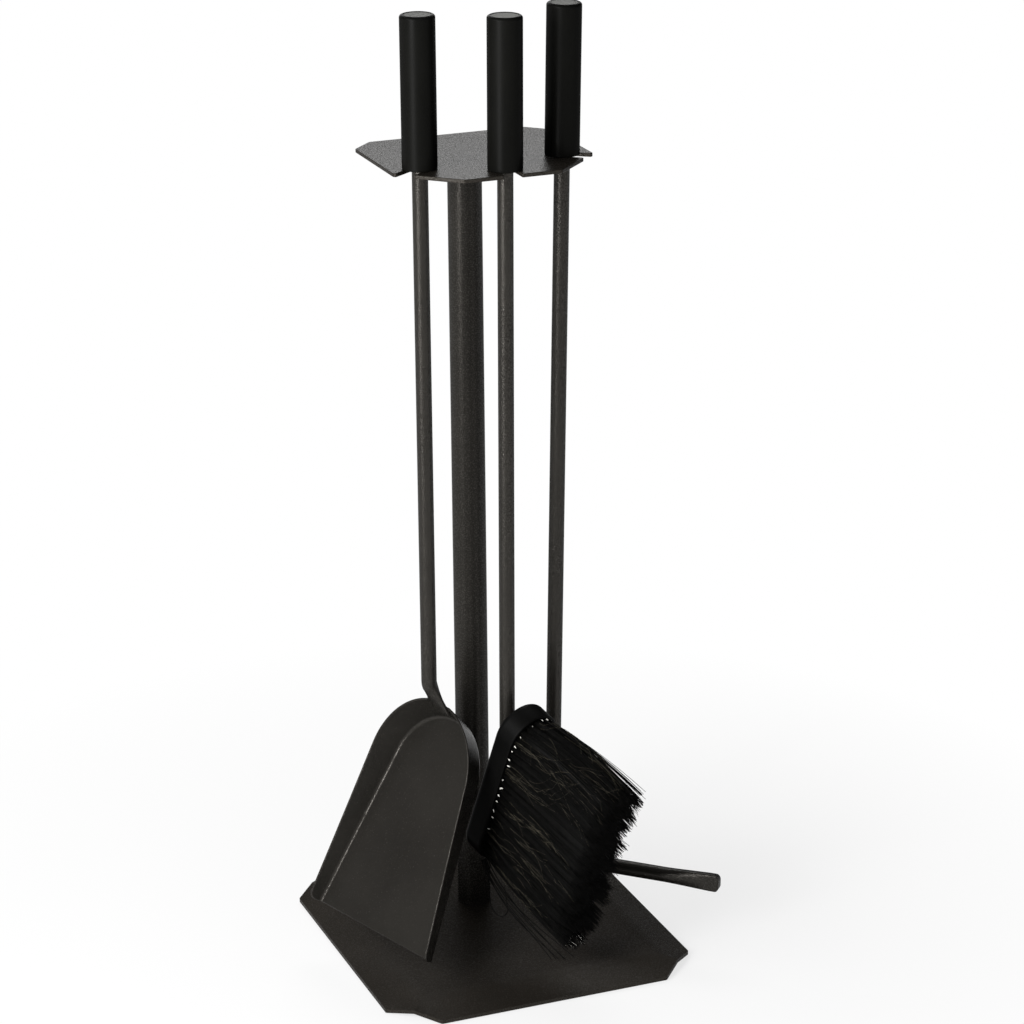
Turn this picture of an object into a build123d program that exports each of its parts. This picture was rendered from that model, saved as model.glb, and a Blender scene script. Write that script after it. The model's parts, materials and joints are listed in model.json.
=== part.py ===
# Fireplace tool set: a slotted stand with a shovel, a brush and a poker hanging from it.
# Millimetres. +Z is up and -Y is the front. The origin is on the column's axis, on the floor.
from build123d import *
from math import cos, hypot, radians, sin, sqrt, tan
import os

os.makedirs("parts", exist_ok=True)

# ---- stand: base -------------------------------------------------------------
base_width = 212.0
base_front = 145.0        # column axis to the base's front edge
base_back = 85.0          # column axis to the base's back edge
base_clip = 28.0          # leg of each corner cut
base_sheet = 2.5
base_rim_width = 24.0     # the band round the edge that slopes down
base_rim_drop = 5.5
base_rim_gap = 0.6        # floor to the rim's lower edge
base_bend_radius = 40.0
corner_round = 2.0        # outline corners of the base and of the top plate
pad_diameter = 18.0
pad_inset = 14.0          # foot of the slope to a pad's centre

# ---- stand: column and its fastenings ----------------------------------------
column_diameter = 22.0
column_wall = 1.5
column_length = 520.0
plug_length = 15.0
plug_clearance = 0.05
thread_radius = 4.0
thread_clearance = 0.05
thread_depth = 12.0
screw_head_radius = 7.0
screw_head_height = 3.2
screw_socket = 4.0        # across the flats of the hex socket
washer_radius = 9.0
washer_thickness = 1.5
screw_hole_clearance = 0.4
screw_pad_diameter = 24.0

# ---- stand: top plate --------------------------------------------------------
plate_sheet = 2.5
plate_half_width = 66.0
plate_back = 32.0
plate_back_half = 52.0    # half the straight back edge
plate_side_back = 18.0    # where the side edge meets the back corner cut
plate_front = 84.0
plate_front_half = 32.0   # half the straight front edge
plate_edge_round = 0.5
slot_clearance = 0.75     # each side of a rod
slot_mouth_round = 1.0
slot_land = 2.7           # on a side edge's line, front corner cut to the side slot's edge

# ---- what the three tools share ----------------------------------------------
rod_diameter = 10.0
grip_diameter = 22.0
grip_wall = 2.3
grip_length = 95.0
grip_lip_round = 1.9
cap_thickness = 1.8
cap_inset = 0.3
core_clearance = 0.05
rod_top_gap = 8.0         # top of the rod to the underside of the cap
seat_gap = 0.25           # underside of a grip to the top plate

side_slot_x = 47.0        # rods of the shovel and of the poker
side_slot_y = -47.0
side_slot_angle = 36.0    # how far a side slot turns to the front from the X axis
mid_slot_y = -70.0        # rod of the brush

# ---- shovel ------------------------------------------------------------------
shovel_swivel = -162.0    # heading of the pan's mouth, from +X towards +Y
shovel_lean = 0.0
pan_tilt = 28.1           # pan floor from the vertical
pan_lip_reach = 47.3      # rod axis to the middle of the lip
pan_lip_height = 29.9     # lip above the floor
pan_sheet = 1.5
pan_width = 118.0
pan_length = 148.5
pan_taper = 9.0
pan_wall_front = 10.5
pan_wall_back = 21.2
pan_flare_side = 6.4
pan_flare_back = 7.7
pan_flare_taper = 7.8
pan_fold_radius = 4.0
pan_corner_round = 6.0
pan_rim_round = 0.6         # both edges of the cut sheet, all the way round
tang_width = 20.0
tang_thickness = 2.6
tang_angle = 22.0          # from the rod's line
tang_gap = 0.1             # tang and its weld to the inside of the back wall
tang_below = 0.6           # tang's end below the bottom of the notch
weld_radius = 0.9
weld_length = 14.0
weld_drop = 1.0            # weld's middle below the bottom of the notch, along the wall
notch_depth = 4.5          # cut in the back wall's rim where the tang comes through
notch_clearance = 0.6      # each side of the tang
tang_edge_round = 1.2     # long edges of the forged flats
shovel_bend_radius = 10.0

# ---- brush -------------------------------------------------------------------
brush_swivel = -69.8
brush_lean = 0.5
brush_tilt = 20.9         # block from the vertical
brush_face_reach = 9.4    # rod axis to the middle of the face that carries the bristles
brush_face_height = 121.3
block_length = 121.0
block_width = 39.0
block_thickness = 16.0
block_back_round = 4.0
block_face_round = 1.0
bristle_length = 88.0
bristle_inset = 1.5
bristle_splay = 7.0       # growth of the tuft field at each end over the bristles' length
bristle_narrowing = 2.0
socket_clearance = 0.05
socket_floor = 4.0        # block left under the rod's end

# ---- poker -------------------------------------------------------------------
poker_swivel = -42.0
poker_lean = 1.1
poker_hook_reach = 117.0  # rod axis to the tip
poker_hook_height = 51.2  # hook's axis above the floor
poker_bend_radius = 20.0
poker_tip_width = 12.0
poker_tip_thickness = 5.0
poker_tip_blend = 30.0
poker_tip_flat = 7.0
poker_tip_round = 4.0

# ---- heights and radii that follow -------------------------------------------
base_underside = base_rim_gap + base_rim_drop
base_top = base_underside + base_sheet
column_radius = column_diameter / 2
column_bore = column_radius - column_wall
plate_underside = base_top + column_length
plate_top = plate_underside + plate_sheet
rod_radius = rod_diameter / 2
grip_radius = grip_diameter / 2
grip_bore = grip_radius - grip_wall
seat_height = plate_top + seat_gap
slot_radius = rod_radius + slot_clearance
slot_run = (plate_half_width - side_slot_x) * tan(radians(side_slot_angle))
slot_edge = slot_run - side_slot_y - slot_radius / cos(radians(side_slot_angle))
plate_side_front = slot_edge - slot_land


def save(piece, name):
    """Label a finished piece and write its own file."""
    piece.part.label = name
    export_step(piece.part, f"parts/{name}.step")


# ---- base plate: a pressed sheet with a sloping rim and cut corners -----------
def base_rectangle(grow=0.0):
    """The base's rectangle, grown all round, in the sketch that is open."""
    with Locations((0, (base_back - base_front) / 2)):
        Rectangle(base_width + 2 * grow, base_front + base_back + 2 * grow)


def dished_block(rim_height):
    """A block whose top is flat in the middle and slopes softly down past the rim."""
    margin = base_rim_width / 2
    foot = rim_height - margin * base_rim_drop / base_rim_width
    with BuildPart() as block:
        with BuildSketch(Plane.XY.offset(foot)):
            base_rectangle(margin)
        with BuildSketch(Plane.XY.offset(rim_height + base_rim_drop)):
            base_rectangle(-base_rim_width)
        loft(ruled=True)
        folds = block.faces().sort_by(Axis.Z)[-1].edges()
        fillet(folds, base_bend_radius)
        with BuildSketch(Plane.XY.offset(foot)):
            base_rectangle(margin)
        extrude(amount=-2 * base_top)
    return block


upper_block = dished_block(base_rim_gap + base_sheet)
lower_block = dished_block(base_rim_gap)

with BuildPart() as base_plate:
    with BuildSketch() as base_shape:
        base_rectangle()
        chamfer(base_shape.vertices(), base_clip)
        fillet(base_shape.vertices(), corner_round)
    extrude(amount=2 * base_top)
    add(upper_block.part, mode=Mode.INTERSECT)
    add(lower_block.part, mode=Mode.SUBTRACT)
    with BuildSketch():
        Circle(thread_radius + screw_hole_clearance)
    extrude(amount=2 * base_top, mode=Mode.SUBTRACT)

save(base_plate, "base_plate")

pad_x = base_width / 2 - base_rim_width - pad_inset
pad_front_y = -(base_front - base_rim_width - pad_inset)
pad_back_y = base_back - base_rim_width - pad_inset
with BuildPart() as base_pads:
    with BuildSketch():
        with Locations((-pad_x, pad_front_y), (pad_x, pad_front_y)):
            Circle(pad_diameter / 2)
        with Locations((-pad_x, pad_back_y), (pad_x, pad_back_y)):
            Circle(pad_diameter / 2)
    extrude(amount=base_underside)

save(base_pads, "base_pads")

# ---- column: a tube with a threaded plug in each end --------------------------
with BuildPart() as column_tube:
    with BuildSketch(Plane.XY.offset(base_top)):
        Circle(column_radius)
        Circle(column_bore, mode=Mode.SUBTRACT)
    extrude(amount=column_length)

save(column_tube, "column_tube")

plug_heights = {"column_foot": base_top, "column_head": plate_underside - plug_length}
for plug_name, plug_height in plug_heights.items():
    with BuildPart() as plug:
        with BuildSketch(Plane.XY.offset(plug_height)):
            Circle(column_bore - plug_clearance)
            Circle(thread_radius, mode=Mode.SUBTRACT)
        extrude(amount=plug_length)
    save(plug, plug_name)

# ---- washer, screw and felt disc under the base -------------------------------
washer_bottom = base_underside - washer_thickness
head_bottom = washer_bottom - screw_head_height

with BuildPart() as base_washer:
    with BuildSketch(Plane.XY.offset(washer_bottom)):
        Circle(washer_radius)
        Circle(thread_radius + screw_hole_clearance, mode=Mode.SUBTRACT)
    extrude(amount=washer_thickness)

save(base_washer, "base_washer")

with BuildPart() as base_screw:
    with BuildSketch(Plane.XY.offset(head_bottom)):
        Circle(screw_head_radius)
    extrude(amount=screw_head_height)
    with BuildSketch(Plane.XY.offset(washer_bottom)):
        Circle(thread_radius - thread_clearance)
    extrude(amount=base_top + thread_depth - washer_bottom)
    with BuildSketch(Plane.XY.offset(head_bottom)):
        RegularPolygon(screw_socket / 2, 6, major_radius=False)
    extrude(amount=screw_head_height / 2, mode=Mode.SUBTRACT)

save(base_screw, "base_screw")

with BuildPart() as screw_pad:
    with BuildSketch():
        Circle(screw_pad_diameter / 2)
    extrude(amount=head_bottom)

save(screw_pad, "screw_pad")

# ---- top plate: cut corners and three open slots ------------------------------
slots = [
    (side_slot_x, side_slot_y, -side_slot_angle),
    (-side_slot_x, side_slot_y, 180 + side_slot_angle),
    (0, mid_slot_y, -90),
]

with BuildPart() as top_plate:
    with BuildSketch(Plane.XY.offset(plate_underside)) as plate_shape:
        with BuildLine():
            Polyline(
                (0, plate_back),
                (plate_back_half, plate_back),
                (plate_half_width, plate_side_back),
                (plate_half_width, -plate_side_front),
                (plate_front_half, -plate_front),
                (0, -plate_front),
            )
            mirror(about=Plane.YZ)
        make_face()
        corners = plate_shape.vertices().filter_by(lambda v: abs(v.X) > 1)
        fillet(corners, corner_round)
        for slot_x, slot_y, slot_heading in slots:
            with Locations(Location((slot_x, slot_y, 0), (0, 0, slot_heading))):
                Circle(slot_radius, mode=Mode.SUBTRACT)
                Rectangle(
                    plate_front, 2 * slot_radius, align=(Align.MIN, Align.CENTER), mode=Mode.SUBTRACT
                )
            new_corners = plate_shape.vertices(Select.LAST)
            mouth = new_corners.sort_by(lambda v: hypot(v.X - slot_x, v.Y - slot_y))[-2:]
            fillet(mouth, slot_mouth_round)
    extrude(amount=plate_sheet)
    flats = top_plate.faces().filter_by(Axis.Z)
    fillet(flats.edges(), plate_edge_round)

save(top_plate, "top_plate")

with BuildPart() as plate_stud:
    with BuildSketch(Plane.XY.offset(plate_underside)):
        Circle(thread_radius - thread_clearance)
    extrude(amount=-thread_depth)

save(plate_stud, "plate_stud")


# ---- what the tools share -----------------------------------------------------
def tool_frame(x, y, swivel, lean):
    """A tool's own axes: x along its heading, z up its rod, origin where the grip meets the plate."""
    heading = Vector(cos(radians(swivel)), sin(radians(swivel)), 0)
    upright = Vector(0, 0, 1)
    outward = heading * cos(radians(lean)) - upright * sin(radians(lean))
    rod_axis = upright * cos(radians(lean)) + heading * sin(radians(lean))
    return Plane((x, y, seat_height), x_dir=outward, z_dir=rod_axis)


def side_view(frame):
    """The upright plane through a rod that holds the tool's heading: x outward, y up the rod."""
    return Plane(frame.origin, x_dir=frame.x_dir, z_dir=-frame.y_dir)


def across(frame, reach, height, turn=0.0):
    """A plane across the tool's upright plane, facing up the rod and then turned outward."""
    facing = frame.z_dir * cos(radians(turn)) + frame.x_dir * sin(radians(turn))
    return Plane(frame.from_local_coords((reach, 0, height)), x_dir=frame.y_dir, z_dir=facing)


def tip_trim(plane, width, corner):
    """What is cut off to round the corners of a flat tip that ends on this plane's x axis."""
    with BuildPart() as trim:
        with BuildSketch(plane):
            Rectangle(2 * width, 2 * corner)
            with Locations((0, -2 * corner)):
                RectangleRounded(width, 4 * corner, corner, mode=Mode.SUBTRACT)
        extrude(amount=width, both=True)
    return trim.part


cap_bottom = grip_length - cap_inset - cap_thickness
rod_top = cap_bottom - rod_top_gap

shovel_frame = tool_frame(-side_slot_x, side_slot_y, shovel_swivel, shovel_lean)
brush_frame = tool_frame(0, mid_slot_y, brush_swivel, brush_lean)
poker_frame = tool_frame(side_slot_x, side_slot_y, poker_swivel, poker_lean)

# ---- grips: a sleeve, the core that holds it on the rod, and a cap ------------
tool_frames = {"shovel": shovel_frame, "brush": brush_frame, "poker": poker_frame}
for tool_name, frame in tool_frames.items():
    with BuildPart() as grip:
        with BuildSketch(frame):
            Circle(grip_radius)
            Circle(grip_bore, mode=Mode.SUBTRACT)
        extrude(amount=grip_length)
        ends = grip.faces().filter_by(GeomType.PLANE).sort_by(Axis(frame.origin, frame.z_dir))
        fillet(ends[-1].outer_wire().edges(), grip_lip_round)
        fillet(ends[0].outer_wire().edges(), plate_edge_round)
    save(grip, f"{tool_name}_grip")

    with BuildPart() as grip_core:
        with BuildSketch(frame.offset(plate_edge_round)):
            Circle(grip_bore - core_clearance)
            Circle(rod_radius + core_clearance, mode=Mode.SUBTRACT)
        extrude(amount=cap_bottom - plate_edge_round)
    save(grip_core, f"{tool_name}_grip_core")

    with BuildPart() as grip_cap:
        with BuildSketch(frame.offset(cap_bottom)):
            Circle(grip_bore - core_clearance)
        extrude(amount=cap_thickness)
    save(grip_cap, f"{tool_name}_grip_cap")

# ---- shovel pan: one pressed sheet with three walls, open at the lip -----------
lip_height = pan_lip_height - seat_height
tilt = radians(pan_tilt)
pan_plane = Plane(
    shovel_frame.from_local_coords((pan_lip_reach, 0, lip_height)),
    x_dir=shovel_frame.y_dir,
    z_dir=shovel_frame.x_dir * cos(tilt) + shovel_frame.z_dir * sin(tilt),
)


def pan_arc(half_lip, length, slope):
    """Centre and radius of the arc that joins the pan's two sides at the back."""
    centre = (length - half_lip * cos(slope)) / (1 - sin(slope))
    return centre, length - centre


def pan_section(rise, half_lip, length, taper, overrun):
    """A mouth that narrows to a round back, this far above the pan's floor plane."""
    slope = radians(taper)
    centre, radius = pan_arc(half_lip, length, slope)
    lip = half_lip + overrun * tan(slope)
    shoulder_x = radius * cos(slope)
    shoulder_y = centre + radius * sin(slope)
    with BuildSketch(pan_plane.offset(rise)) as section:
        with BuildLine():
            Line((-lip, -overrun), (lip, -overrun))
            Line((lip, -overrun), (shoulder_x, shoulder_y))
            ThreePointArc((shoulder_x, shoulder_y), (0, length), (-shoulder_x, shoulder_y))
            Line((-shoulder_x, shoulder_y), (-lip, -overrun))
        make_face()
    return section.sketch


def pan_solid(inset, overrun):
    """The pan's outer shape, or its hollow when it is inset by the sheet."""
    overheight = 1.25         # the walls are cut to height afterwards
    half_lip = pan_width / 2 - inset
    length = pan_length - inset
    flare_side = pan_flare_side * overheight
    flare_back = pan_flare_back * overheight
    flare_taper = pan_taper + (pan_flare_taper - pan_taper) * overheight
    foot = pan_section(0, half_lip, length, pan_taper, overrun)
    top = pan_section(
        pan_wall_back * overheight, half_lip + flare_side, length + flare_back, flare_taper, overrun
    )
    with BuildPart() as solid:
        loft(sections=[foot, top], ruled=True)
        if inset > 0:
            split(bisect_by=pan_plane.offset(inset), keep=Keep.TOP)
        floor = solid.faces().sort_by(Axis(pan_plane.origin, pan_plane.z_dir))[0]
        folds = floor.edges().sort_by(Axis(pan_plane.origin, pan_plane.y_dir))[1:]
        fillet(folds, pan_fold_radius - inset)
    return solid


pan_outside = pan_solid(0, 0)
pan_hollow = pan_solid(pan_sheet, 2 * pan_sheet)

# Seen from the side, the rim rises from the lip to the back and its front corners are round.
pan_side = Plane(pan_plane.origin, x_dir=pan_plane.y_dir, z_dir=pan_plane.x_dir)
rim_run = pan_length + pan_flare_back
rim_rise = pan_wall_back - pan_wall_front
overlap = 2 * pan_sheet

with BuildPart() as shovel_pan:
    add(pan_outside.part)
    add(pan_hollow.part, mode=Mode.SUBTRACT)
    with BuildSketch(pan_side) as side_shape:
        with BuildLine():
            Polyline(
                (0, -overlap),
                (0, pan_wall_front),
                (rim_run + overlap, pan_wall_back + overlap * rim_rise / rim_run),
                (rim_run + overlap, -overlap),
                (0, -overlap),
            )
        make_face()
        lip_corner = side_shape.vertices().sort_by_distance((0, pan_wall_front))[0]
        fillet(lip_corner, pan_corner_round)
    extrude(amount=pan_width, both=True, mode=Mode.INTERSECT)
    rim_normal = pan_plane.z_dir * rim_run - pan_plane.y_dir * rim_rise
    rim_faces = shovel_pan.faces().filter_by(Axis((0, 0, 0), rim_normal))
    rim_edges = rim_faces.sort_by(SortBy.AREA)[-1].edges()
    fillet(rim_edges.filter_by(lambda edge: edge.length > 3 * pan_sheet), pan_rim_round)
    with BuildSketch(pan_plane.offset(pan_wall_back - notch_depth)):
        with Locations((0, pan_length + pan_flare_back / 2)):
            Rectangle(tang_width + 2 * notch_clearance, 3 * pan_flare_back)
    extrude(amount=2 * notch_depth, mode=Mode.SUBTRACT)

save(shovel_pan, "shovel_pan")

# ---- shovel rod: the end is forged flat and welded to the inside of the back wall
def pan_to_side(along, rise):
    """A point of the pan's middle section in the tool's upright plane: reach and height."""
    reach = pan_lip_reach - along * sin(tilt) + rise * cos(tilt)
    height = lip_height + along * cos(tilt) + rise * sin(tilt)
    return Vector(reach, height)


def back_wall_inside(rise, aside):
    """A point inside the back wall, at this rise and this far from the pan's middle."""
    share = rise / pan_wall_back
    half_lip = pan_width / 2 - pan_sheet + pan_flare_side * share
    length = pan_length - pan_sheet + pan_flare_back * share
    slope = radians(pan_taper + (pan_flare_taper - pan_taper) * share)
    centre, radius = pan_arc(half_lip, length, slope)
    return pan_to_side(centre + sqrt(radius**2 - aside**2), rise)


back_foot = pan_to_side(pan_length, 0)
back_rim = pan_to_side(pan_length + pan_flare_back, pan_wall_back)
wall_direction = (back_rim - back_foot).normalized()
into_pan = Vector(wall_direction.Y, -wall_direction.X)
tang_direction = Vector(sin(radians(tang_angle)), cos(radians(tang_angle)))
tang_front = Vector(tang_direction.Y, -tang_direction.X)
notch_bottom = pan_wall_back - notch_depth
tang_contact = back_wall_inside(notch_bottom, tang_width / 2) + into_pan * tang_gap
tang_foot = tang_contact + tang_front * (tang_thickness / 2) - tang_direction * tang_below
weld_contact = back_wall_inside(notch_bottom, weld_length / 2) - wall_direction * weld_drop
weld_middle = weld_contact + into_pan * (weld_radius + tang_gap)
bend_height = tang_foot.Y - tang_foot.X / tan(radians(tang_angle))
bend_start = bend_height + shovel_bend_radius * tan(radians(tang_angle / 2))
bend_end = Vector(
    -shovel_bend_radius * (1 - cos(radians(tang_angle))),
    bend_start - shovel_bend_radius * sin(radians(tang_angle)),
)

with BuildPart() as shovel_rod:
    with BuildSketch(across(shovel_frame, 0, bend_start)):
        Circle(rod_radius)
    extrude(amount=rod_top - bend_start)
    with BuildLine(side_view(shovel_frame)) as bend_path:
        JernArc((0, bend_start), (0, -1), shovel_bend_radius, -tang_angle)
    with BuildSketch(across(shovel_frame, 0, bend_start)):
        Circle(rod_radius)
    sweep(path=bend_path.line)
    with BuildSketch(across(shovel_frame, tang_foot.X, tang_foot.Y, tang_angle)):
        RectangleRounded(tang_width, tang_thickness, tang_thickness / 3)
    with BuildSketch(across(shovel_frame, bend_end.X, bend_end.Y, tang_angle)):
        Circle(rod_radius)
    loft()
    with BuildSketch(side_view(shovel_frame)):
        with Locations((weld_middle.X, weld_middle.Y)):
            Circle(weld_radius)
    extrude(amount=weld_length / 2, both=True)

save(shovel_rod, "shovel_rod")

# ---- brush --------------------------------------------------------------------
brush_lean_out = radians(brush_tilt)
face_height = brush_face_height - seat_height
brush_plane = Plane(
    brush_frame.from_local_coords((brush_face_reach, 0, face_height)),
    x_dir=brush_frame.x_dir * sin(brush_lean_out) + brush_frame.z_dir * cos(brush_lean_out),
    z_dir=brush_frame.x_dir * cos(brush_lean_out) - brush_frame.z_dir * sin(brush_lean_out),
)
# The rod runs on into the block until its edge is this close to the bristle face.
rod_edge = brush_face_reach - rod_radius
rod_end = face_height + (socket_floor - rod_edge * cos(brush_lean_out)) / sin(brush_lean_out)

with BuildPart() as brush_rod:
    with BuildSketch(brush_frame.offset(rod_end)):
        Circle(rod_radius)
    extrude(amount=rod_top - rod_end)

save(brush_rod, "brush_rod")

with BuildPart() as brush_block:
    with BuildSketch(brush_plane):
        SlotOverall(block_length, block_width)
    extrude(amount=-block_thickness)
    flats = brush_block.faces().filter_by(GeomType.PLANE)
    flats = flats.sort_by(Axis(brush_plane.origin, brush_plane.z_dir))
    fillet(flats[0].edges(), block_back_round)
    fillet(flats[-1].edges(), block_face_round)
    with BuildSketch(brush_frame.offset(rod_end - socket_clearance)):
        Circle(rod_radius + socket_clearance)
    extrude(amount=block_length, mode=Mode.SUBTRACT)

save(brush_block, "brush_block")

with BuildPart() as brush_bristles:
    with BuildSketch(brush_plane):
        SlotOverall(block_length - 2 * bristle_inset, block_width - 2 * bristle_inset)
    with BuildSketch(brush_plane.offset(bristle_length)):
        SlotOverall(
            block_length - 2 * bristle_inset + 2 * bristle_splay,
            block_width - 2 * bristle_inset - 2 * bristle_narrowing,
        )
    loft(ruled=True)

save(brush_bristles, "brush_bristles")

# ---- poker: the rod turns out into a hook whose tip is forged flat -------------
hook_height = poker_hook_height - seat_height
blend_reach = poker_hook_reach - poker_tip_flat - poker_tip_blend

with BuildPart() as poker_rod:
    with BuildLine(side_view(poker_frame)) as hook_path:
        FilletPolyline((0, rod_top), (0, hook_height), (blend_reach, hook_height), radius=poker_bend_radius)
    with BuildSketch(poker_frame.offset(rod_top)):
        Circle(rod_radius)
    sweep(path=hook_path.line)
    with BuildSketch(across(poker_frame, blend_reach, hook_height, 90)):
        Circle(rod_radius)
    with BuildSketch(across(poker_frame, blend_reach + poker_tip_blend, hook_height, 90)):
        RectangleRounded(poker_tip_thickness, poker_tip_width, tang_edge_round)
    loft()
    with BuildSketch(across(poker_frame, blend_reach + poker_tip_blend, hook_height, 90)):
        RectangleRounded(poker_tip_thickness, poker_tip_width, tang_edge_round)
    extrude(amount=poker_tip_flat)
    tip_plane = Plane(
        poker_frame.from_local_coords((poker_hook_reach, 0, hook_height)),
        x_dir=poker_frame.z_dir,
        z_dir=poker_frame.y_dir,
    )
    add(tip_trim(tip_plane, poker_tip_width, poker_tip_round), mode=Mode.SUBTRACT)

save(poker_rod, "poker_rod")
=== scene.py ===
# %% [markdown]
# # Fireplace tool set
# A stand with three tools that hang from it: a shovel, a brush and a poker. The metal pieces come
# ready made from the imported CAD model, in metres, with +Z up and the front towards -Y. This lesson
# gives them their coatings, grows the brush's bristles, and sets up the lights and the camera.

import json
import math
import random

import bpy
from mathutils import Matrix, Vector


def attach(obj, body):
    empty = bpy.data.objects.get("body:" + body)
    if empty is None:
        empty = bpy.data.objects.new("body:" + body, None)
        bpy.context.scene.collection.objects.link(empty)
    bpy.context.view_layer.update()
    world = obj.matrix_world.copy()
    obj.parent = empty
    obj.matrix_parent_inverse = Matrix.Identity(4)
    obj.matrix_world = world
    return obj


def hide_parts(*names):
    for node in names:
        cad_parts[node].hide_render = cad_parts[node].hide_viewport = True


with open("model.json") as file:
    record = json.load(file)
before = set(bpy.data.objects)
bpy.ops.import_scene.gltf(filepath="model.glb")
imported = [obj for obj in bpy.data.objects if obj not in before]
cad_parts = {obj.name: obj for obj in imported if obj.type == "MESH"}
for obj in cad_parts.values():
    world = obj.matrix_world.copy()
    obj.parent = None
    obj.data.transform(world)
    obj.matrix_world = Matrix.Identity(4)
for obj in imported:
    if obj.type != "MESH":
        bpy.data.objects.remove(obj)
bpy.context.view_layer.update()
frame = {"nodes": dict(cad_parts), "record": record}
nodes = frame["nodes"]
print("pieces from CAD:", len(nodes))

MM = 0.001

# %% [markdown]
# ## The camera
# A long lens from a little above and to the left of the front keeps upright things nearly parallel,
# as in a catalogue. The camera is built from its heading, its pitch and a very small roll, because
# three angles are easier to reason about than a rotation matrix typed in by hand.

# %% Camera
CAMERA_PLACE = Vector((-0.7479, -1.9664, 1.0358))
CAMERA_HEADING = math.radians(-21.585)
CAMERA_PITCH = math.radians(19.606)
CAMERA_ROLL = math.radians(-0.524)
LENS_MM = 120.63
SENSOR_MM = 36.0


def camera_axes(heading, pitch, roll):
    """The camera's right, up and forward directions."""
    forward = Vector((
        -math.sin(heading) * math.cos(pitch), math.cos(heading) * math.cos(pitch), -math.sin(pitch)
    ))
    level = Vector((math.cos(heading), math.sin(heading), 0))
    upright = level.cross(forward)
    right = level * math.cos(roll) + upright * math.sin(roll)
    up = upright * math.cos(roll) - level * math.sin(roll)
    return right, up, forward


right, up, forward = camera_axes(CAMERA_HEADING, CAMERA_PITCH, CAMERA_ROLL)
lens = bpy.data.cameras.new("camera")
lens.lens = LENS_MM
lens.sensor_width = SENSOR_MM
lens.clip_end = 50.0
camera = bpy.data.objects.new("camera", lens)
bpy.context.scene.collection.objects.link(camera)
facing = Matrix((right, up, -forward)).transposed().to_4x4()
camera.matrix_world = Matrix.Translation(CAMERA_PLACE) @ facing
bpy.context.scene.camera = camera
print("camera distance, m:", round(CAMERA_PLACE.length, 3))

# %% [markdown]
# ## Helpers for node materials
# Every finish here is made of the same few steps: a noise at a real size, a curve that sharpens it,
# and a bump or a colour mix. These short helpers keep each finish readable. Sizes are given in
# millimetres, and a grain of 0.7 mm becomes a texture scale of 1 / 0.0007, because the model is in
# metres. The last helper takes the shine off surfaces seen edge-on, where a smooth shader would
# mirror the whole studio and a rough coating does not.

# %% Material helpers
def new_finish(name):
    """A material with its node tree, its shader and the object's own coordinates."""
    material = bpy.data.materials.new(name)
    material.use_nodes = True
    tree = material.node_tree
    shader = tree.nodes["Principled BSDF"]
    place = tree.nodes.new("ShaderNodeTexCoord").outputs["Object"]
    return material, tree, shader, place


def grain(tree, place, size_mm, detail=2.0, roughness=0.5, stretch=None):
    """Noise whose features are about this size; stretch scales the coordinates first."""
    if stretch:
        mapping = tree.nodes.new("ShaderNodeMapping")
        mapping.inputs["Scale"].default_value = stretch
        tree.links.new(place, mapping.inputs["Vector"])
        place = mapping.outputs["Vector"]
    texture = tree.nodes.new("ShaderNodeTexNoise")
    texture.inputs["Scale"].default_value = 1 / (size_mm * MM)
    texture.inputs["Detail"].default_value = detail
    texture.inputs["Roughness"].default_value = roughness
    tree.links.new(place, texture.inputs["Vector"])
    return texture.outputs["Fac"]


def remap(tree, value, low, high, to_low, to_high):
    """The value, moved from one range to another and kept inside it."""
    node = tree.nodes.new("ShaderNodeMapRange")
    for socket, number in zip(("From Min", "From Max", "To Min", "To Max"), (low, high, to_low, to_high)):
        node.inputs[socket].default_value = number
    tree.links.new(value, node.inputs["Value"])
    return node.outputs["Result"]


def mix_colours(tree, factor, first, second):
    """A colour between two colours or colour sockets."""
    node = tree.nodes.new("ShaderNodeMix")
    node.data_type = "RGBA"
    for socket, colour in ((node.inputs[6], first), (node.inputs[7], second)):
        if isinstance(colour, tuple):
            socket.default_value = (*colour, 1)
        else:
            tree.links.new(colour, socket)
    tree.links.new(factor, node.inputs[0])
    return node.outputs[2]


def bump(tree, height, depth_mm, normal=None):
    """Relief of about this depth, on top of another relief if one is given."""
    node = tree.nodes.new("ShaderNodeBump")
    node.inputs["Distance"].default_value = depth_mm * MM
    tree.links.new(height, node.inputs["Height"])
    if normal:
        tree.links.new(normal, node.inputs["Normal"])
    return node.outputs["Normal"]


def times(tree, first, second):
    """The product of two values."""
    node = tree.nodes.new("ShaderNodeMath")
    node.operation = "MULTIPLY"
    for socket, value in zip(node.inputs, (first, second)):
        if isinstance(value, (int, float)):
            socket.default_value = value
        else:
            tree.links.new(value, socket)
    return node.outputs[0]


EDGE_START, EDGE_END = 0.15, 0.62


def dull_edges(tree, edge_share, start=EDGE_START, end=EDGE_END):
    """1 on surfaces that face the viewer, falling to a share where they are seen almost edge-on."""
    weight = tree.nodes.new("ShaderNodeLayerWeight")
    weight.inputs["Blend"].default_value = 0.5
    return remap(tree, weight.outputs["Facing"], start, end, 1.0, edge_share)


# %% [markdown]
# ## Powder coat
# The stand, the rods and the pan carry an anthracite powder coat. Real powder coat is not flat: it
# has a fine grain where the powder melted, a slow orange peel under it, and a few lighter grains.
# The grain also breaks up the highlights on the round bars, which a smooth paint would not do.

# %% Powder coat
PEEL_MM, PEEL_DEPTH_MM = 4.5, 0.02
PATCH_MM = 60
FLECK_MM = 1.1
WARM_SHEEN = (1.0, 0.94, 0.86, 1)
COAT_DULLING = (0.1, EDGE_START, EDGE_END)


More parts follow.
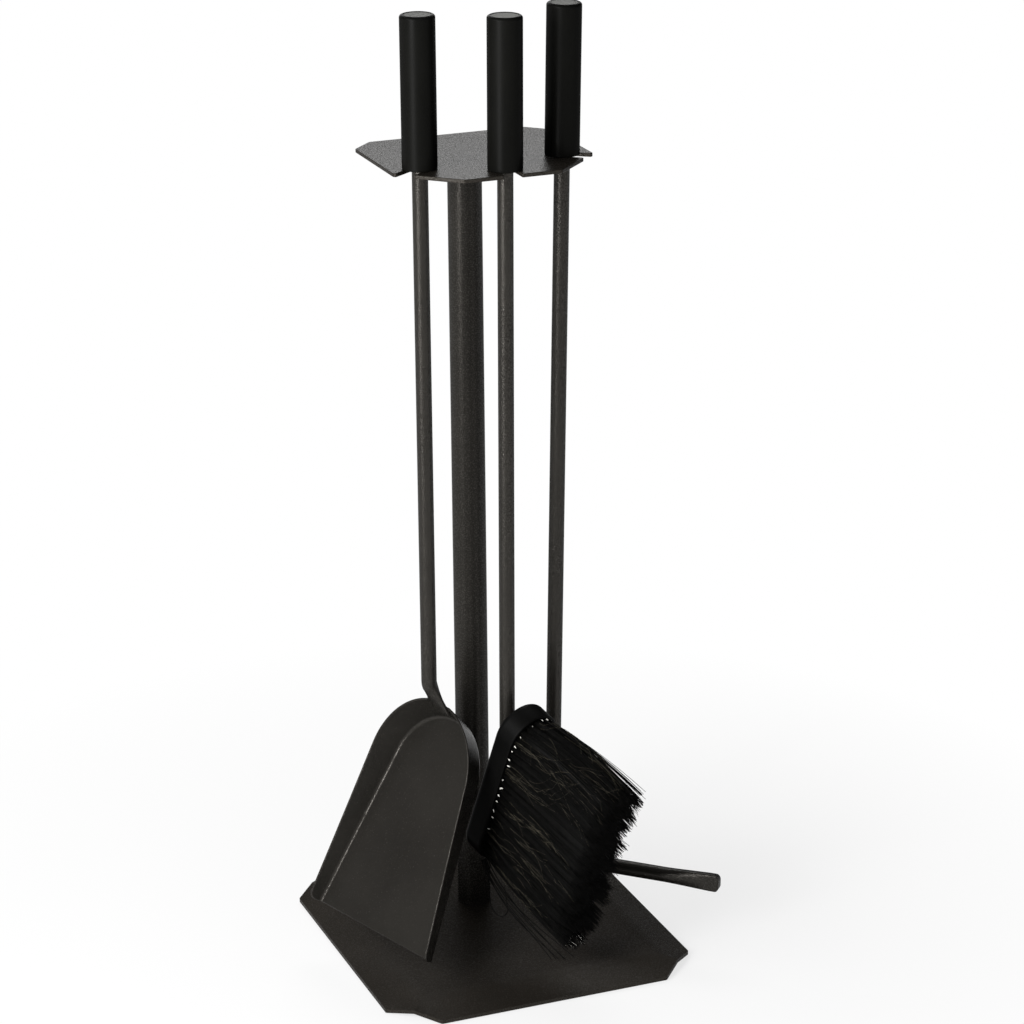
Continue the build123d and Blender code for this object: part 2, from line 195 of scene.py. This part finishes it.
def powder_coat(
    name, colour, gloss, grain_mm, grain_depth_mm, shine, speck_gain=1.9, dulling=COAT_DULLING
):
    """A fine-textured, satin powder coat. Dulling is the edge share and where it starts and ends."""
    material, tree, shader, place = new_finish(name)
    fine = grain(tree, place, grain_mm, detail=3.0, roughness=0.65)
    peel = grain(tree, place, PEEL_MM, detail=1.0)
    patches = grain(tree, place, PATCH_MM, detail=3.0)
    flecks = grain(tree, place, FLECK_MM, detail=1.0)
    light = tuple(min(1.0, c * 1.16) for c in colour)
    dark = tuple(c * 0.86 for c in colour)
    speck = tuple(c * speck_gain for c in colour)
    ground = mix_colours(tree, remap(tree, patches, 0.35, 0.65, 0, 1), dark, light)
    specked = mix_colours(tree, remap(tree, flecks, 0.66, 0.74, 0, 0.8), ground, speck)
    tree.links.new(specked, shader.inputs["Base Color"])
    tree.links.new(remap(tree, fine, 0.3, 0.7, gloss - 0.05, gloss + 0.07), shader.inputs["Roughness"])
    relief = bump(tree, peel, PEEL_DEPTH_MM)
    relief = bump(tree, fine, grain_depth_mm, relief)
    tree.links.new(relief, shader.inputs["Normal"])
    shader.inputs["Specular Tint"].default_value = WARM_SHEEN
    grains = remap(tree, fine, 0.32, 0.68, shine * 0.1, shine * 1.9)
    tree.links.new(times(tree, grains, dull_edges(tree, *dulling)), shader.inputs["Specular IOR Level"])
    return material


# One anthracite coat covers the stand and the tools. The plates' grey is set lighter than the bars' grey:
# painted light, making up for the lamp light that the base plate gets too little of.
PLATE_GREY_WITH_PAINTED_LIGHT = (0.0190, 0.0166, 0.0138)
BAR_GREY = (0.0140, 0.0130, 0.0114)
PAN_GREY = (0.0150, 0.0139, 0.0122)
PLATE_DULLING = (0.1, 0.05, 0.40)
plate_coat = powder_coat(
    "plate_coat", PLATE_GREY_WITH_PAINTED_LIGHT, 0.25, 0.9, 0.16, shine=0.20, dulling=PLATE_DULLING
)
column_coat = powder_coat("column_coat", BAR_GREY, 0.25, 0.9, 0.15, shine=0.19)
rod_coat = powder_coat("rod_coat", BAR_GREY, 0.20, 0.8, 0.20, shine=0.30)
pan_coat = powder_coat("pan_coat", PAN_GREY, 0.16, 0.8, 0.10, shine=0.26)
print("coats:", plate_coat.name, column_coat.name, rod_coat.name, pan_coat.name)

# %% [markdown]
# ## Grips
# The grips are tubes in a satin black enamel: nearly black, much smoother than the powder coat, with
# one soft upright highlight. The disc let into each top has a coarser grey texture.

# %% Grip enamel and end discs
def satin_enamel(name, colour, gloss, shine):
    """A thin, smooth enamel with faint handling marks."""
    material, tree, shader, place = new_finish(name)
    smudges = grain(tree, place, 25, detail=4.0, stretch=(1, 1, 0.35))
    dust = grain(tree, place, 0.5, detail=2.0)
    lighter = tuple(c * 1.5 for c in colour)
    tree.links.new(
        mix_colours(tree, remap(tree, smudges, 0.4, 0.7, 0, 1), colour, lighter), shader.inputs["Base Color"]
    )
    tree.links.new(remap(tree, smudges, 0.3, 0.7, gloss - 0.04, gloss + 0.08), shader.inputs["Roughness"])
    tree.links.new(bump(tree, dust, 0.012), shader.inputs["Normal"])
    tree.links.new(times(tree, dull_edges(tree, 0.15), shine), shader.inputs["Specular IOR Level"])
    return material


grip_enamel = satin_enamel("grip_enamel", (0.0042, 0.0042, 0.0037), 0.36, 0.036)
cap_coat = powder_coat(
    "cap_coat", (0.135, 0.137, 0.124), 0.55, 0.9, 0.16, shine=0.4, speck_gain=1.4
)
print("grips:", grip_enamel.name, cap_coat.name)

# %% [markdown]
# ## Small finishes
# Rubber feet, felt, zinc-plated fastenings and the turned wooden cores are mostly out of sight, but
# they are looked at when the stand is turned over, so each gets its own simple finish.

# %% Rubber, felt, zinc and wood
def plain_finish(name, dark, light, size_mm, gloss, depth_mm, metallic=0.0, stretch=None):
    """Two close colours mixed by one grain that also gives the relief."""
    material, tree, shader, place = new_finish(name)
    marks = grain(tree, place, size_mm, detail=4.0, stretch=stretch)
    tree.links.new(
        mix_colours(tree, remap(tree, marks, 0.35, 0.65, 0, 1), dark, light), shader.inputs["Base Color"]
    )
    tree.links.new(bump(tree, marks, depth_mm), shader.inputs["Normal"])
    shader.inputs["Roughness"].default_value = gloss
    shader.inputs["Metallic"].default_value = metallic
    return material


foot_rubber = plain_finish("foot_rubber", (0.014, 0.014, 0.014), (0.024, 0.024, 0.023), 1.5, 0.75, 0.06)
felt = plain_finish("felt", (0.022, 0.022, 0.023), (0.05, 0.05, 0.05), 0.5, 0.95, 0.15)
fastener_steel = plain_finish(
    "fastener_steel", (0.45, 0.46, 0.48), (0.62, 0.62, 0.63), 3.0, 0.32, 0.01, metallic=1.0
)
core_wood = plain_finish(
    "core_wood", (0.30, 0.20, 0.12), (0.46, 0.33, 0.21), 2.0, 0.6, 0.05, stretch=(1, 1, 0.08)
)
block_lacquer = satin_enamel("block_lacquer", (0.0026, 0.0026, 0.0025), 0.42, 0.05)
small_finishes = (foot_rubber, felt, fastener_steel, core_wood, block_lacquer)
print("small finishes:", [finish.name for finish in small_finishes])

# %% [markdown]
# ## Handing the finishes out
# The record says which slot each CAD piece takes its finish from, so the same names serve here. Two
# pieces take a coat of their own: the pan, whose thin sheet has a finer grain than the bars, and the
# column, which keeps the bars' grey without the painted light of the plates' coat. The bristles have no
# finish here, because hair takes the place of their plain solid.

# %% Finishes on the CAD pieces
finishes = {
    "stand_coat": plate_coat,
    "tool_coat": rod_coat,
    "grip_enamel": grip_enamel,
    "cap_coat": cap_coat,
    "core_wood": core_wood,
    "block_lacquer": block_lacquer,
    "foot_rubber": foot_rubber,
    "felt": felt,
    "fastener_steel": fastener_steel,
}
own_finish = {"shovel_pan": pan_coat, "column_tube": column_coat}
slot_of = {part["node"]: part["material_slot"] for part in frame["record"]["subparts"]}
for name, piece in nodes.items():
    if slot_of[name] in finishes:
        piece.data.materials.clear()
        piece.data.materials.append(own_finish.get(name, finishes[slot_of[name]]))
print("finished CAD pieces:", sum(slot_of[n] in finishes for n in nodes))

# %% [markdown]
# ## The brush's own axes
# The bristles leave the block's flat face at right angles. The face's middle, its outward normal and
# its long axis are all that is needed to grow them: u runs along the block, v across it, w outwards.

# %% Bristle axes
BRUSH_SWIVEL = math.radians(-69.8)
BRUSH_LEAN = math.radians(0.5)
BRUSH_TILT = math.radians(20.9)
SEAT_HEIGHT = 531.35
FACE_REACH = 9.4
FACE_HEIGHT = 121.3
SLOT_Y = -70.0

heading = Vector((math.cos(BRUSH_SWIVEL), math.sin(BRUSH_SWIVEL), 0))
upright = Vector((0, 0, 1))
outward = heading * math.cos(BRUSH_LEAN) - upright * math.sin(BRUSH_LEAN)
rod_axis = upright * math.cos(BRUSH_LEAN) + heading * math.sin(BRUSH_LEAN)
face_u = outward * math.sin(BRUSH_TILT) + rod_axis * math.cos(BRUSH_TILT)
face_w = outward * math.cos(BRUSH_TILT) - rod_axis * math.sin(BRUSH_TILT)
face_v = rod_axis.cross(outward)
seat = Vector((0, SLOT_Y, SEAT_HEIGHT))
face_middle = (seat + outward * FACE_REACH + rod_axis * (FACE_HEIGHT - SEAT_HEIGHT)) * MM


def brush_point(u, v, w):
    """A point given in millimetres along, across and out from the bristle face."""
    return face_middle + (face_u * u + face_v * v + face_w * w) * MM


print("bristle face at, mm:", [round(c / MM, 1) for c in face_middle])

# %% [markdown]
# ## Bristles
# A brush head is drilled in rows and each hole holds a tuft. The outermost holes follow the outline
# of the block, and the rest fill it in staggered rows. The outline is a stadium: two straight sides
# and two half circles. All lengths here are in millimetres on the face of the block.

# %% Tuft places
BLOCK_LENGTH = 121.0
BLOCK_WIDTH = 39.0
TUFT_PITCH = 5.8
TUFT_EDGE = 3.8
TUFT_ROWS = 6
BRISTLE_LENGTH = 88.0
SPLAY = 7.0
BULGE = 4.0
NARROWING = 2.0
rng = random.Random(11)


def in_stadium(u, v, margin):
    """True if the place is inside the block's outline by at least this margin."""
    radius = BLOCK_WIDTH / 2 - margin
    straight = BLOCK_LENGTH / 2 - BLOCK_WIDTH / 2
    over = max(abs(u) - straight, 0)
    return math.hypot(over, v) <= radius


def rim_point(share, margin):
    """A point of the block's outline moved in by a margin, and the outward direction there."""
    radius = BLOCK_WIDTH / 2 - margin
    straight = BLOCK_LENGTH - BLOCK_WIDTH
    way = (share % 1.0) * (2 * straight + 2 * math.pi * radius)
    for turn in (0, 1):
        flip = -1 if turn else 1
        if way < straight:
            return flip * (way - straight / 2), flip * -radius, 0.0, -1.0 * flip
        way -= straight
        if way < math.pi * radius:
            angle = way / radius - math.pi / 2
            out_u, out_v = flip * math.cos(angle), flip * math.sin(angle)
            return flip * straight / 2 + radius * out_u, radius * out_v, out_u, out_v
        way -= math.pi * radius
    return -straight / 2, -radius, 0.0, -1.0


def tuft_places():
    """A ring of holes round the edge and staggered rows inside it."""
    ring_length = 2 * (BLOCK_LENGTH - BLOCK_WIDTH) + 2 * math.pi * (BLOCK_WIDTH / 2 - TUFT_EDGE)
    ring_count = round(ring_length / TUFT_PITCH)
    places = [rim_point(k / ring_count, TUFT_EDGE)[:2] for k in range(ring_count)]
    inner_edge = TUFT_EDGE + TUFT_PITCH * 0.85
    for row in range(TUFT_ROWS):
        v = (row - (TUFT_ROWS - 1) / 2) * TUFT_PITCH * 0.9
        shift = TUFT_PITCH / 2 if row % 2 else 0
        count = int(BLOCK_LENGTH / TUFT_PITCH) + 2
        for k in range(count):
            u = (k - count / 2) * TUFT_PITCH + shift
            if in_stadium(u, v, inner_edge):
                places.append((u, v))
    return ring_count, places


ring_count, tufts = tuft_places()
print("tufts:", len(tufts), "of them round the edge:", ring_count)

# %% [markdown]
# Every bristle is a thin tapering tube of its own, because that is what makes the ragged ends and the
# edges look right from every side. The bristles of a tuft start together, spread a little, and each
# has its own small bend. The head as a whole widens most in the middle of its height.

# %% Strand builder
STRAND_SIDES = 3
ROOT_DEPTH = 0.5


def fan_out(u, t):
    """How far a bristle rooted at u has moved along the block, a share t of the way out."""
    return u / (BLOCK_LENGTH / 2) * (SPLAY * t + BULGE * 4 * t * (1 - t))


def strand_points(u, v, reach, bend_u, bend_v, start, steps=7):
    """The line of one bristle: it leaves its tuft square to the face and then spreads and bends."""
    spread_v = -v / (BLOCK_WIDTH / 2) * NARROWING
    points = []
    for k in range(steps + 1):
        t = k / steps
        ease = t * (0.35 + 0.9 * t - 0.25 * t * t)
        points.append(brush_point(
            u + start[0] + fan_out(u, t) + bend_u * ease,
            v + start[1] + spread_v * t + bend_v * ease,
            -ROOT_DEPTH + (reach + ROOT_DEPTH) * t,
        ))
    return points


def add_tube(verts, faces, points, root_radius, tip_radius, sides=STRAND_SIDES):
    """A thin closed tube along some points, narrowing to its tip."""
    base = len(verts)
    last = len(points) - 1
    side = (points[-1] - points[0]).cross(face_v).normalized()
    for k, point in enumerate(points):
        ahead = points[min(k + 1, last)] - points[max(k - 1, 0)]
        ahead.normalize()
        first = (side - ahead * side.dot(ahead)).normalized()
        second = ahead.cross(first)
        radius = (root_radius + (tip_radius - root_radius) * k / last) * MM
        for s in range(sides):
            angle = 2 * math.pi * s / sides
            verts.append(point + (first * math.cos(angle) + second * math.sin(angle)) * radius)
    for k in range(last):
        for s in range(sides):
            a = base + k * sides + s
            b = base + k * sides + (s + 1) % sides
            faces.append((a, b, b + sides, a + sides))
    faces.append(tuple(base + s for s in reversed(range(sides))))
    faces.append(tuple(base + last * sides + s for s in range(sides)))


def make_piece(name, verts, faces, material):
    """A mesh object, placed where the brush is, that rides on the brush."""
    mesh = bpy.data.meshes.new(name)
    mesh.from_pydata([tuple(v) for v in verts], [], faces)
    mesh.materials.append(material)
    mesh.polygons.foreach_set("use_smooth", [True] * len(mesh.polygons))
    mesh.update()
    piece = bpy.data.objects.new(name, mesh)
    bpy.context.scene.collection.objects.link(piece)
    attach(piece, "brush")
    print(name, "vertices:", len(verts))
    return piece


# %% [markdown]
# The hair is stiff and nearly black, with a satin surface streaked along its length. Some of it is
# grey-brown. A near-white finish makes the painted glints close to the block and the bleached tips.

# %% Bristle finishes
def bristle_finish(name, dark, light, gloss):
    """Stiff hair: streaked along its length, with a satin surface."""
    material, tree, shader, place = new_finish(name)
    streaks = grain(tree, place, 3.0, detail=3.0)
    tree.links.new(
        mix_colours(tree, remap(tree, streaks, 0.35, 0.65, 0, 1), dark, light), shader.inputs["Base Color"]
    )
    shader.inputs["Roughness"].default_value = gloss
    shader.inputs["Specular IOR Level"].default_value = 0.09
    return material


bristle_black = bristle_finish("bristle", (0.0013, 0.0013, 0.0012), (0.0030, 0.0029, 0.0026), 0.60)
bristle_brown = bristle_finish("bristle_light", (0.030, 0.027, 0.019), (0.085, 0.077, 0.058), 0.5)
# Near-white: painted glints at the bristle roots, and the bleached tips.
bleached_tips_and_glints = bristle_finish("bleached_tips_and_glints", (0.72, 0.70, 0.64), (0.88, 0.87, 0.82), 0.6)
print("bristle finishes:", bristle_black.name, bristle_brown.name, bleached_tips_and_glints.name)

# %% [markdown]
# The dark bristles and a core make one piece. The core fills the middle, where no single bristle can
# be made out, so far fewer are needed. It is a closed skin of rings, each given by how far out it lies
# and how much it is drawn in.

# %% Core of the bristles
CORE_INSET = 4.2
CORE_RING = 48
CORE_LEVELS = ((0.2, 0.6), (0.5, 0.0), (18.0, 0.0), (36.0, 0.0), (54.0, 0.0), (76.0, 0.0), (79.0, 3.0))
dark_verts, dark_faces = [], []

for w, tuck in CORE_LEVELS:
    for k in range(CORE_RING):
        u, v, out_u, out_v = rim_point(k / CORE_RING, CORE_INSET + tuck)
        dark_verts.append(brush_point(u + fan_out(u, w / BRISTLE_LENGTH), v, w))
for level in range(len(CORE_LEVELS) - 1):
    for k in range(CORE_RING):
        a, b = level * CORE_RING + k, level * CORE_RING + (k + 1) % CORE_RING
        dark_faces.append((a, b, b + CORE_RING, a + CORE_RING))
dark_faces.append(tuple(reversed(range(CORE_RING))))
dark_faces.append(tuple((len(CORE_LEVELS) - 1) * CORE_RING + k for k in range(CORE_RING)))
print("core vertices:", len(dark_verts))

# %% [markdown]
# A tuft leans and stands out a little as a whole, and its bristles differ again inside it, so the
# trimmed end is ragged in clumps as it is on a real brush. The trim is slightly hollow in the middle.

# %% Grow the dark bristles
STRANDS_PER_TUFT = 44
TUFT_RADIUS = 1.9
TRIM_HOLLOW = 3.0
LONGEST_OVER = 1.5
STRAND_ROOT_RADIUS, STRAND_TIP_RADIUS = 0.24, 0.17

for tuft_u, tuft_v in tufts:
    tuft_bend = (rng.gauss(0, 1.3), rng.gauss(0, 1.0))
    tuft_reach = rng.gauss(0, 0.9)
    for k in range(STRANDS_PER_TUFT):
        angle = rng.uniform(0, 2 * math.pi)
        spot = TUFT_RADIUS * math.sqrt(rng.random())
        start = (spot * math.cos(angle), spot * math.sin(angle))
        fan = rng.uniform(0.4, 1.9)
        bend_u = start[0] * fan + tuft_bend[0] + rng.gauss(0, 1.3)
        bend_v = start[1] * fan + tuft_bend[1] + rng.gauss(0, 0.9)
        trim = TRIM_HOLLOW * (1 - (tuft_u / (BLOCK_LENGTH / 2)) ** 2)
        reach = BRISTLE_LENGTH - trim + tuft_reach - abs(rng.gauss(0, 1.8)) + rng.gauss(0, 0.6)
        reach = min(reach, BRISTLE_LENGTH + LONGEST_OVER)
        points = strand_points(tuft_u, tuft_v, reach, bend_u, bend_v, start)
        add_tube(dark_verts, dark_faces, points, STRAND_ROOT_RADIUS, STRAND_TIP_RADIUS)
bristles = make_piece("brush_bristle_tufts", dark_verts, dark_faces, bristle_black)
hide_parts("brush_bristles")

# %% [markdown]
# Pale, curly fibres lie over the dark mass at many small angles. They are what gives it a direction
# and a sense of depth. Most come in loose clumps of up to five that run about the same way.

# %% Pale fibres
PALE_CLUMPS = 62
SINGLE_FIBRES = 70
PALE_INSET = 1.9
OUTLINE_LENGTH = 260.0
light_verts, light_faces = [], []


def surface_fibre(share, from_w, to_w, drift, curl, waves, phase, lift, steps=14):
    """A fibre that lies on the outside of the bristles and wanders sideways as it goes out."""
    points = []
    for k in range(steps + 1):
        t = k / steps
        w = from_w + (to_w - from_w) * t
        out = w / BRISTLE_LENGTH
        sway = drift * t * t + curl * math.sin(phase + waves * 2 * math.pi * t) * min(1.0, 2 * t)
        u, v, out_u, out_v = rim_point(share + sway / OUTLINE_LENGTH, PALE_INSET)
        rise = lift + 0.4 * curl * abs(math.sin(phase + 1 + waves * 5 * t))
        points.append(brush_point(
            u + fan_out(u, out) + out_u * rise,
            v * (1 - NARROWING / (BLOCK_WIDTH / 2) * out) + out_v * rise,
            w + 0.5 * curl * math.sin(phase + waves * 4 * math.pi * t),
        ))
    return points


def pale_fibre(share, from_w, run, drift):
    """One pale fibre, added to the piece that holds them all."""
    to_w = min(from_w + run, BRISTLE_LENGTH - rng.uniform(0, 4))
    points = surface_fibre(
        share, from_w, to_w, drift, abs(rng.gauss(0, 0.8)), rng.uniform(0.3, 1.3),
        rng.uniform(0, 6.28), rng.uniform(0.0, 0.4),
    )
    thick = rng.uniform(0.06, 0.12)
    add_tube(light_verts, light_faces, points, thick, thick * 0.7)


for clump in range(PALE_CLUMPS):
    share = rng.random()
    from_w = rng.uniform(2, 66)
    run = rng.uniform(12, 46)
    drift = rng.gauss(0, 5)
    for member in range(rng.randint(1, 5)):
        pale_fibre(
            share + rng.gauss(0, 0.006), max(1.0, from_w + rng.gauss(0, 5)), run * rng.uniform(0.5, 1.2),
            drift + rng.gauss(0, 2),
        )
for single in range(SINGLE_FIBRES):
    pale_fibre(rng.random(), rng.uniform(1, 74), rng.uniform(6, 30), rng.gauss(0, 7))
pale_bristles = make_piece("brush_bristles_pale", light_verts, light_faces, bristle_brown)

# %% [markdown]
# Small near-white specks in the outermost holes, close to the block, are painted glints. They are
# frequent at the upper end and rare at the lower one. The lowest tufts have bleached tips too.

# %% Painted root glints and bleached tips
LOWER_PART = -22.0
SPECK_CHANCE, LOWER_SPECK_CHANCE = 0.8, 0.25
TWIN_CHANCE = 0.3
SPECK_SIDES = 5
BLEACHED_TIPS = 18
root_verts, root_faces = [], []


def straight_fibre(u, v, w, length, slant_u, slant_v=0.0):
    """Three points of a short straight fibre that slants as it goes out."""
    return [brush_point(u + slant_u * t, v + slant_v * t, w + length * t) for t in (0, 0.5, 1)]


# Painted glints: near-white specks in the outermost holes, close to the block.
for k in range(ring_count):
    hole_u = rim_point(k / ring_count, 1.7)[0]
    if rng.random() > (LOWER_SPECK_CHANCE if hole_u < LOWER_PART else SPECK_CHANCE):
        continue
    for twin in range(2 if rng.random() < TWIN_CHANCE else 1):
        share = (k + rng.uniform(-0.3, 0.3)) / ring_count
        u, v, out_u, out_v = rim_point(share, rng.uniform(1.5, 2.4))
        w = rng.uniform(0.4, 1.8)
        slant_u, slant_v = rng.gauss(0, 0.6), rng.gauss(0, 0.4)
        ends = straight_fibre(u, v + 0.3 * out_v, w, rng.uniform(0.6, 2.2), slant_u, slant_v)
        add_tube(root_verts, root_faces, ends, rng.uniform(0.25, 0.6), 0.2, sides=SPECK_SIDES)
for k in range(BLEACHED_TIPS):
    u = -BLOCK_LENGTH / 2 - SPLAY + rng.uniform(1, 13)
    v = rng.uniform(-10, 8)
    w = rng.uniform(79, 86)
    lean = rng.gauss(-0.5, 1.2)
    add_tube(root_verts, root_faces, straight_fibre(u, v, w, rng.uniform(3, 6), lean), 0.10, 0.05)
glints_and_tips = make_piece("brush_glints_and_bleached_tips", root_verts, root_faces, bleached_tips_and_glints)

# %% [markdown]
# Six long bristles have slipped out at the lower edge and stand off from it, each a little further
# than the last. One more falls from the block's lower end, turns a wide loop and comes up again.

# %% Strays
STRAYS = 6
STRAY_ROOT_U = -57.0
STRAY_END = (-64.0, 95.0)
STRAY_STEP = 3.2
LOOP_ROOT = (-58.0, -12.0, 8.0)
LOOP_FALL, LOOP_RADIUS, LOOP_RISE = 24.0, 8.5, 15.0
FALL_ENDS, TURN_ENDS = 0.45, 0.8
DROP_U, DROP_W = -math.cos(BRUSH_TILT), math.sin(BRUSH_TILT)
stray_verts, stray_faces = [], []


def stray_line(k, v, sag, steps=16):
    """The line of one stray, which sags away from the bristles before it comes back to its end."""
    end_u, end_w = STRAY_END[0] - STRAY_STEP * k, STRAY_END[1] - STRAY_STEP * k
    points = []
    for step in range(steps + 1):
        t = step / steps
        u = STRAY_ROOT_U + (end_u - STRAY_ROOT_U) * t ** 1.6 - sag * math.sin(math.pi * t ** 0.7)
        points.append(brush_point(u, v + 1.5 * math.sin(3 * t + k), 1 + (end_w - 1) * t))
    return points


def loop_place(t):
    """How far the loop has fallen and moved aside, a share t of the way along it."""
    if t < FALL_ENDS:
        return LOOP_FALL * t / FALL_ENDS, -1.5 * math.sin(math.pi * t / FALL_ENDS)
    if t < TURN_ENDS:
        turn = math.pi * (t - FALL_ENDS) / (TURN_ENDS - FALL_ENDS)
        return LOOP_FALL + LOOP_RADIUS * math.sin(turn), LOOP_RADIUS * (1 - math.cos(turn))
    rising = (t - TURN_ENDS) / (1 - TURN_ENDS)
    return LOOP_FALL - LOOP_RISE * rising, 2 * LOOP_RADIUS - 3 * rising


def loop_line(steps=36):
    """The line of the loop. It falls straight down, which is aslant in the brush's own axes."""
    points = []
    for step in range(steps + 1):
        fall, aside = loop_place(step / steps)
        u = LOOP_ROOT[0] + DROP_U * fall + DROP_W * aside
        w = LOOP_ROOT[2] + DROP_W * fall - DROP_U * aside
        points.append(brush_point(u, LOOP_ROOT[1], w))
    return points


for k in range(STRAYS):
    add_tube(stray_verts, stray_faces, stray_line(k, -rng.uniform(9, 14), rng.uniform(6, 13)), 0.42, 0.28)
add_tube(stray_verts, stray_faces, loop_line(), 0.38, 0.28)
strays = make_piece("brush_stray_bristles", stray_verts, stray_faces, bristle_black)

# %% [markdown]
# ## Floor, light and background
# The set stands on a plain pale floor. To the camera, to mirror reflections and through glass the
# floor is mixed with plain white: wholly from half a metre out, and less close to the object, so
# that the shadow stays. The light on the object doesn't change with it.

# %% Floor
def light_path(tree, *ray_kinds):
    """1 for any of these kinds of ray."""
    path = tree.nodes.new("ShaderNodeLightPath")
    total = path.outputs[ray_kinds[0]]
    for kind in ray_kinds[1:]:
        node = tree.nodes.new("ShaderNodeMath")
        node.operation = "MAXIMUM"
        tree.links.new(total, node.inputs[0])
        tree.links.new(path.outputs[kind], node.inputs[1])
        total = node.outputs[0]
    return total


FLOOR_SIZE = 60.0
SHADOW_ZONE = (0.15, 0.50)
WHITE_SHARE_NEAR = 0.72
floor_mesh = bpy.data.meshes.new("floor")
half = FLOOR_SIZE / 2
corners = [(-half, -half, 0), (half, -half, 0), (half, half, 0), (-half, half, 0)]
floor_mesh.from_pydata(corners, [], [(0, 1, 2, 3)])
floor = bpy.data.objects.new("floor", floor_mesh)
bpy.context.scene.collection.objects.link(floor)
floor_paint, tree, shader, place = new_finish("floor")
shader.inputs["Base Color"].default_value = (0.90, 0.90, 0.90, 1)
shader.inputs["Roughness"].default_value = 0.9
shader.inputs["Specular IOR Level"].default_value = 0.1
white = tree.nodes.new("ShaderNodeEmission")
distance = tree.nodes.new("ShaderNodeVectorMath")
distance.operation = "LENGTH"
tree.links.new(place, distance.inputs[0])
fade = remap(tree, distance.outputs["Value"], *SHADOW_ZONE, WHITE_SHARE_NEAR, 1.0)
seen = light_path(tree, "Is Camera Ray", "Is Glossy Ray", "Is Transmission Ray")
chooser = tree.nodes.new("ShaderNodeMixShader")
tree.links.new(times(tree, fade, seen), chooser.inputs[0])
tree.links.new(shader.outputs[0], chooser.inputs[1])
tree.links.new(white.outputs[0], chooser.inputs[2])
tree.links.new(chooser.outputs[0], tree.nodes["Material Output"].inputs["Surface"])
floor_mesh.materials.append(floor_paint)
print("floor, m:", FLOOR_SIZE)

# %% [markdown]
# A plain white world at a low strength fills the shadows evenly, as the walls of a studio do.

# %% World
WORLD_STRENGTH = 0.22
world = bpy.data.worlds.new("studio")
bpy.context.scene.world = world
world.use_nodes = True
background = world.node_tree.nodes["Background"]
background.inputs["Color"].default_value = (1, 1, 1, 1)
background.inputs["Strength"].default_value = WORLD_STRENGTH
print("world strength:", WORLD_STRENGTH)

# %% [markdown]
# Two lights stand on the left. The low, narrow one draws the upright highlights on the bars, and
# the broad, high one models the pan and the base. A third, behind, catches the top plate and the
# caps, which face up.

# %% Lights
def softbox(name, azimuth, reach, height, width, tall, power, target):
    """A rectangular light aimed at a point; azimuth 0 is in front of the object, positive to its right."""
    lamp = bpy.data.lights.new(name, "AREA")
    lamp.shape = "RECTANGLE"
    lamp.size = width
    lamp.size_y = tall
    lamp.energy = power
    box = bpy.data.objects.new(name, lamp)
    bpy.context.scene.collection.objects.link(box)
    a = math.radians(azimuth)
    place = Vector((math.sin(a) * reach, -math.cos(a) * reach, height))
    box.location = place
    box.rotation_euler = (place - Vector(target)).to_track_quat("Z", "Y").to_euler()
    box.visible_camera = False


softbox("front", azimuth=-55, reach=1.2, height=0.62, width=0.35, tall=0.8, power=17, target=(0, 0, 0.40))
softbox("key", azimuth=-80, reach=1.6, height=1.25, width=0.8, tall=0.8, power=11, target=(0, 0, 0.30))
softbox("back", azimuth=166, reach=0.75, height=0.86, width=0.8, tall=0.35, power=4.4, target=(0, 0, 0.55))
print("lights:", [light.name for light in bpy.data.lights])

# %% [markdown]
# The Standard view shows a colour about as it is written, so that what is mixed above is what is seen.

# %% Colour management
bpy.context.scene.view_settings.view_transform = "Standard"
print("view:", bpy.context.scene.view_settings.view_transform)
